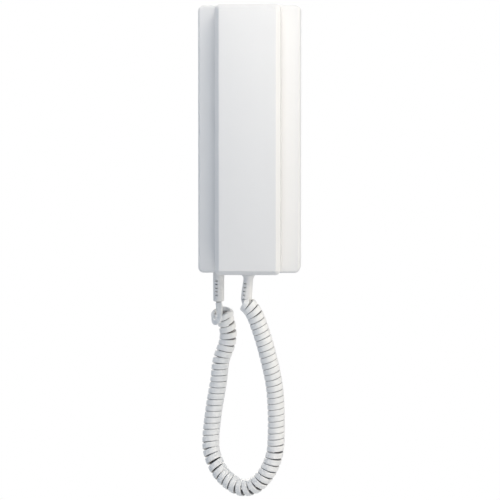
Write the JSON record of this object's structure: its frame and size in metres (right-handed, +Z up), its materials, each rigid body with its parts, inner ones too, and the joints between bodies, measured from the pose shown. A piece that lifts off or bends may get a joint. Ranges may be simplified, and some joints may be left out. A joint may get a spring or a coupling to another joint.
{
  "type": "slimline wall telephone",
  "caption": "Slim wall phone: flat base on a wall bracket, lift-off handset with a keypad inside and a hanging curly cord.",
  "frame": {"origin": "centre of the base's back face, on the wall plane and on the steel bracket's plate", "axes": "+Z up along the phone's length, +Y into the wall, -Y out into the room, +X to the right seen from the room"},
  "size_m": [0.08, 0.056, 0.387],
  "materials": {
    "shell": "satin white moulded ABS",
    "panel": "matte off-white",
    "key": "matte light grey",
    "cord": "soft satin PVC jacket",
    "boot": "flexible satin PVC",
    "rubber": "matte",
    "circuit_board": "solder mask",
    "dark_plastic": "matte moulded",
    "zinc_steel": "zinc plated",
    "brass": "plain"
  },
  "bodies": {
    "base": {"wall_bracket": "zinc_steel", "base_rear_housing": "shell", "base_front_cover": "shell", "base_circuit_board": "circuit_board", "ringer_sounder": "dark_plastic", "hook_switch": "dark_plastic", "line_terminal_block": "dark_plastic", "terminal_screw_upper": "brass", "terminal_screw_lower": "brass", "ringer_switch_body": "dark_plastic", "base_cord_boot": "boot", "cover_screw_1": "zinc_steel", "cover_screw_2": "zinc_steel", "cover_screw_3": "zinc_steel", "cover_screw_4": "zinc_steel", "coiled_cord": "cord", "cord_tail": "cord"},
    "handset": {"handset_front_shell": "shell", "handset_rear_shell": "shell", "keypad_panel": "panel", "keypad_membrane": "rubber", "handset_circuit_board": "circuit_board", "receiver_capsule": "dark_plastic", "receiver_gasket": "rubber", "microphone_capsule": "zinc_steel", "microphone_boot": "rubber", "ballast_weight": "zinc_steel", "handset_cord_boot": "boot", "handset_screw_upper": "zinc_steel", "handset_screw_lower": "zinc_steel"},
    "hook_plunger": {"hook_plunger": "panel"},
    "ringer_switch_knob": {"ringer_switch_knob": "dark_plastic"},
    "key_1": {"key_1": "key"},
    "key_2": {"key_2": "key"},
    "key_3": {"key_3": "key"},
    "key_4": {"key_4": "key"},
    "key_5": {"key_5": "key"},
    "key_6": {"key_6": "key"},
    "key_7": {"key_7": "key"},
    "key_8": {"key_8": "key"},
    "key_9": {"key_9": "key"},
    "key_star": {"key_star": "key"},
    "key_0": {"key_0": "key"},
    "key_hash": {"key_hash": "key"}
  },
  "joints": [
    {"name": "handset_lift", "type": "slide", "parent": "base", "child": "handset", "axis": [0, -0.8192, 0.5736], "range_m": [0, 0.09]},
    {"name": "hook_plunger_slide", "type": "slide", "parent": "base", "child": "hook_plunger", "axis": [0, -1, 0], "range_m": [0, 0.004], "stiffness_N_per_m": 20, "springref_m": 0.004},
    {"name": "ringer_switch_slide", "type": "slide", "parent": "base", "child": "ringer_switch_knob", "axis": [0, 0, -1], "range_m": [0, 0.008]},
    {"name": "key_1_press", "type": "slide", "parent": "handset", "child": "key_1", "axis": [0, -1, 0], "range_m": [0, 0.0012], "stiffness_N_per_m": 150},
    {"name": "key_2_press", "type": "slide", "parent": "handset", "child": "key_2", "axis": [0, -1, 0], "range_m": [0, 0.0012], "stiffness_N_per_m": 150},
    {"name": "key_3_press", "type": "slide", "parent": "handset", "child": "key_3", "axis": [0, -1, 0], "range_m": [0, 0.0012], "stiffness_N_per_m": 150},
    {"name": "key_4_press", "type": "slide", "parent": "handset", "child": "key_4", "axis": [0, -1, 0], "range_m": [0, 0.0012], "stiffness_N_per_m": 150},
    {"name": "key_5_press", "type": "slide", "parent": "handset", "child": "key_5", "axis": [0, -1, 0], "range_m": [0, 0.0012], "stiffness_N_per_m": 150},
    {"name": "key_6_press", "type": "slide", "parent": "handset", "child": "key_6", "axis": [0, -1, 0], "range_m": [0, 0.0012], "stiffness_N_per_m": 150},
    {"name": "key_7_press", "type": "slide", "parent": "handset", "child": "key_7", "axis": [0, -1, 0], "range_m": [0, 0.0012], "stiffness_N_per_m": 150},
    {"name": "key_8_press", "type": "slide", "parent": "handset", "child": "key_8", "axis": [0, -1, 0], "range_m": [0, 0.0012], "stiffness_N_per_m": 150},
    {"name": "key_9_press", "type": "slide", "parent": "handset", "child": "key_9", "axis": [0, -1, 0], "range_m": [0, 0.0012], "stiffness_N_per_m": 150},
    {"name": "key_star_press", "type": "slide", "parent": "handset", "child": "key_star", "axis": [0, -1, 0], "range_m": [0, 0.0012], "stiffness_N_per_m": 150},
    {"name": "key_0_press", "type": "slide", "parent": "handset", "child": "key_0", "axis": [0, -1, 0], "range_m": [0, 0.0012], "stiffness_N_per_m": 150},
    {"name": "key_hash_press", "type": "slide", "parent": "handset", "child": "key_hash", "axis": [0, -1, 0], "range_m": [0, 0.0012], "stiffness_N_per_m": 150}
  ],
  "couplings": [
    {"joint": "hook_plunger_slide", "follows": "handset_lift", "ratio": 0.0444}
  ]
}
